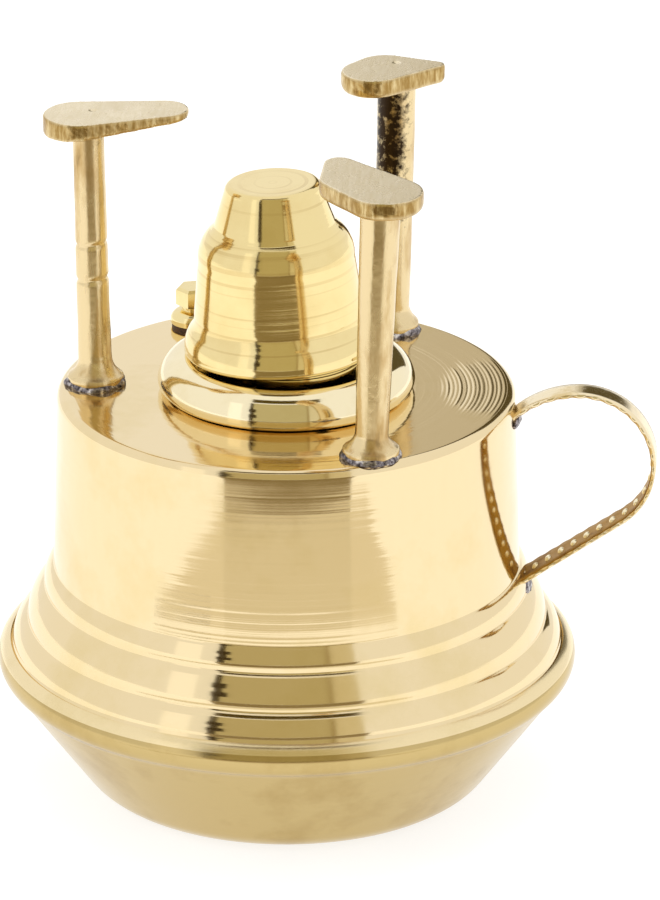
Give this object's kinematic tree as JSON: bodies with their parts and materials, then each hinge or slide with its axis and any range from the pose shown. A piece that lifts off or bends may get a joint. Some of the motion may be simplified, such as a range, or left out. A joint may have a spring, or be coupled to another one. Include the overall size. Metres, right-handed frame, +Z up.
{
  "type": "alcohol burner",
  "caption": "Spun brass spirit burner: flared tank on a conical base, capped wick in a round collar, posts with flat pot rests, screw filler plug and a strap handle.",
  "frame": {"origin": "middle of the flat base, on the axis of the spun tank", "axes": "+Z up along the tank's axis, +X towards the carrying handle"},
  "size_m": [0.1138, 0.1, 0.1217],
  "materials": {
    "spun_brass": "bright polished, with fine spinning rings",
    "pan_brass": "bright polished, a little duller underneath",
    "cap_brass": "bright polished, with turning rings",
    "cast_brass": "filed casting, worn and slightly tarnished",
    "strap_brass": "rolled strip, beaded on the inner face",
    "fitting_brass": "turned, bright",
    "solder": "dull grey soft solder",
    "wick_cotton": "braided cotton, charred at the tip",
    "seal_leather": "dark oiled washer"
  },
  "bodies": {
    "burner_body": {"tank_shell": "spun_brass", "base_pan": "pan_brass", "burner_collar": "spun_brass", "wick_holder": "fitting_brass", "handle_strap": "strap_brass", "handle_solder_top": "solder", "handle_solder_low": "solder", "filler_bush": "fitting_brass", "pot_support_left": "cast_brass", "pot_support_front": "cast_brass", "pot_support_back": "cast_brass", "solder_ring_left": "solder", "solder_ring_front": "solder", "solder_ring_back": "solder"},
    "cap": {"snuffer_cap": "cap_brass"},
    "wick_body": {"wick": "wick_cotton"},
    "plug_washer": {"filler_washer": "seal_leather"},
    "plug": {"filler_plug": "fitting_brass"}
  },
  "joints": [
    {"name": "cap_lift", "type": "slide", "parent": "burner_body", "child": "cap", "axis": [0, 0, 1], "range_m": [0, 0.037]},
    {"name": "wick_feed", "type": "slide", "parent": "burner_body", "child": "wick_body", "axis": [0, 0, 1], "range_m": [-0.002, 0.005]},
    {"name": "plug_lift", "type": "slide", "parent": "burner_body", "child": "plug_washer", "axis": [0, 0, 1], "range_m": [0, 0.006]},
    {"name": "plug_turn", "type": "hinge", "parent": "plug_washer", "child": "plug", "pos_m": [-0.01885, 0.02805, 0.0724], "axis": [0, 0, 1], "range_deg": [0, 2160.05]}
  ],
  "couplings": [
    {"joint": "plug_turn", "follows": "plug_lift", "rad_per_m": 6283.2}
  ]
}
